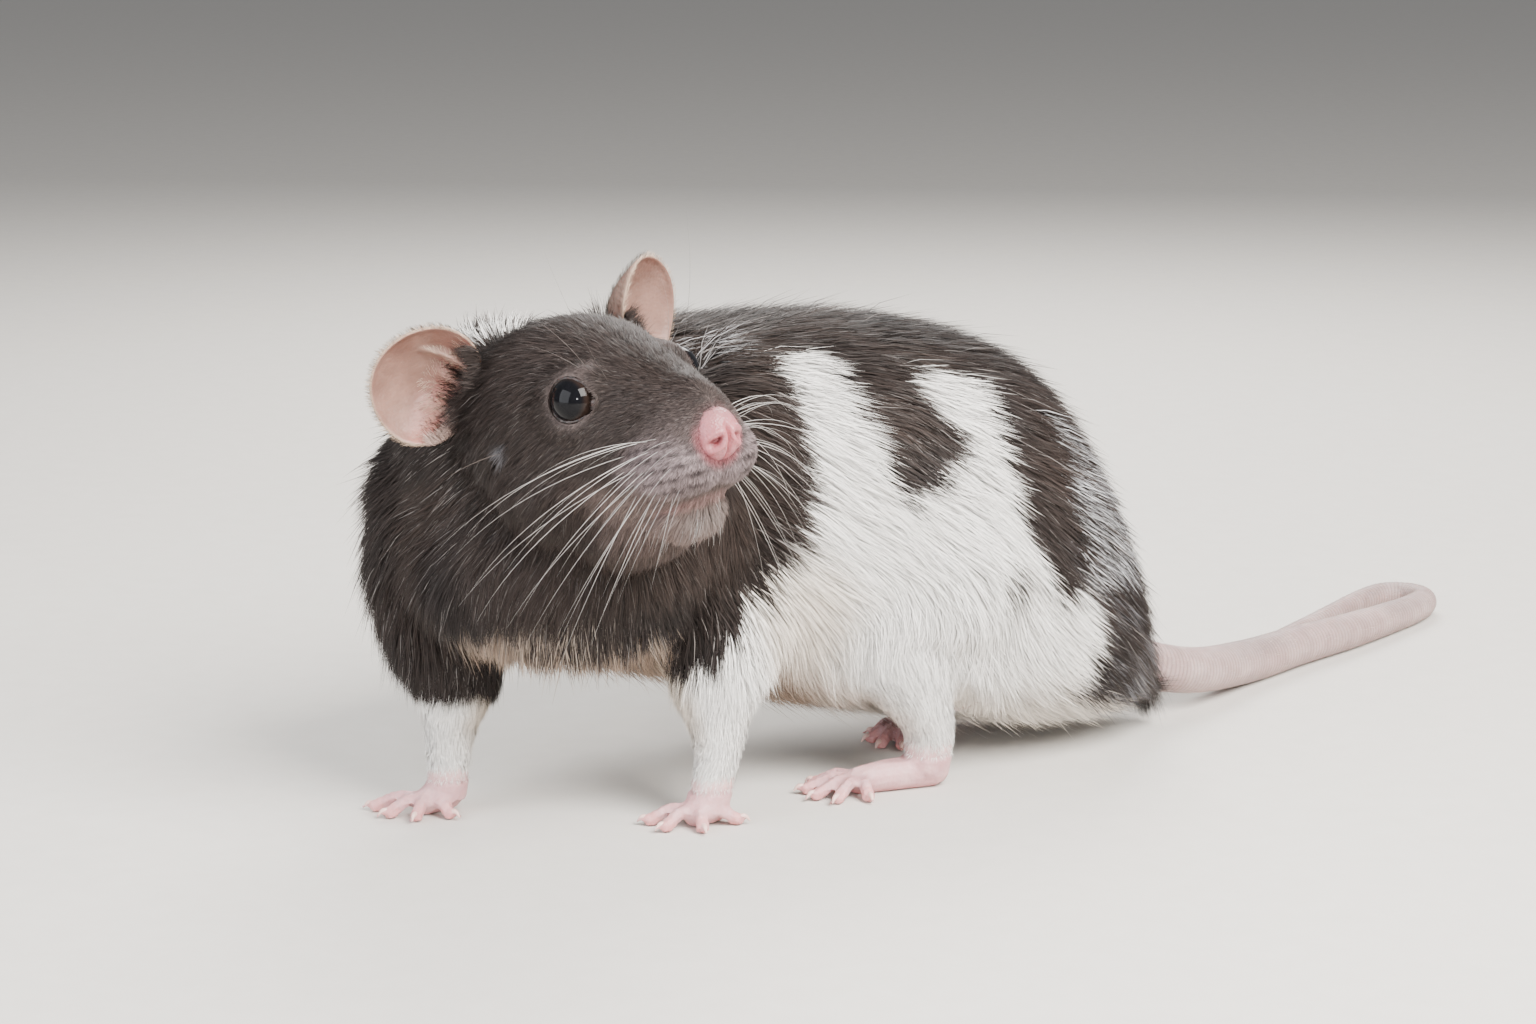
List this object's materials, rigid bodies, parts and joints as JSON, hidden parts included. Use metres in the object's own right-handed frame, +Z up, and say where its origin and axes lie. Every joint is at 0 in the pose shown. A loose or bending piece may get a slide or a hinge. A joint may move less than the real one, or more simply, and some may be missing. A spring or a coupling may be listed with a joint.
{
  "type": "rat",
  "caption": "Life-size pet rat with a short spotted coat, standing on its feet with its head turned to its left and its tail laid on the floor in a loop; a still model.",
  "frame": {"origin": "on the floor, under the middle of the bounding box", "axes": "+Z up; the chest faces -Y, and the rump and the tail lie towards +X and +Y"},
  "size_m": [0.2086, 0.1974, 0.0938],
  "materials": {
    "coat_dark": "short soft fur, brown-black",
    "coat_pale": "short soft fur, cream white with dark patches",
    "skin_pink": "bare pink skin, satin",
    "skin_ear": "thin bare skin, satin",
    "skin_tail": "finely ringed skin, satin",
    "eye": "wet black"
  },
  "bodies": {
    "root": {"head": "coat_dark", "neck": "coat_dark", "torso": "coat_pale", "jaw": "coat_pale", "foreleg_left": "coat_pale", "foreleg_right": "coat_pale", "hindleg_left": "coat_pale", "hindleg_right": "coat_pale", "forepaw_left": "skin_pink", "forepaw_right": "skin_pink", "hindfoot_left": "skin_pink", "hindfoot_right": "skin_pink", "nose": "skin_pink", "ear_left": "skin_ear", "ear_right": "skin_ear", "eye_left": "eye", "eye_right": "eye", "tail_1": "skin_tail", "tail_2": "skin_tail", "tail_3": "skin_tail", "tail_4": "skin_tail"}
  },
  "joints": []
}
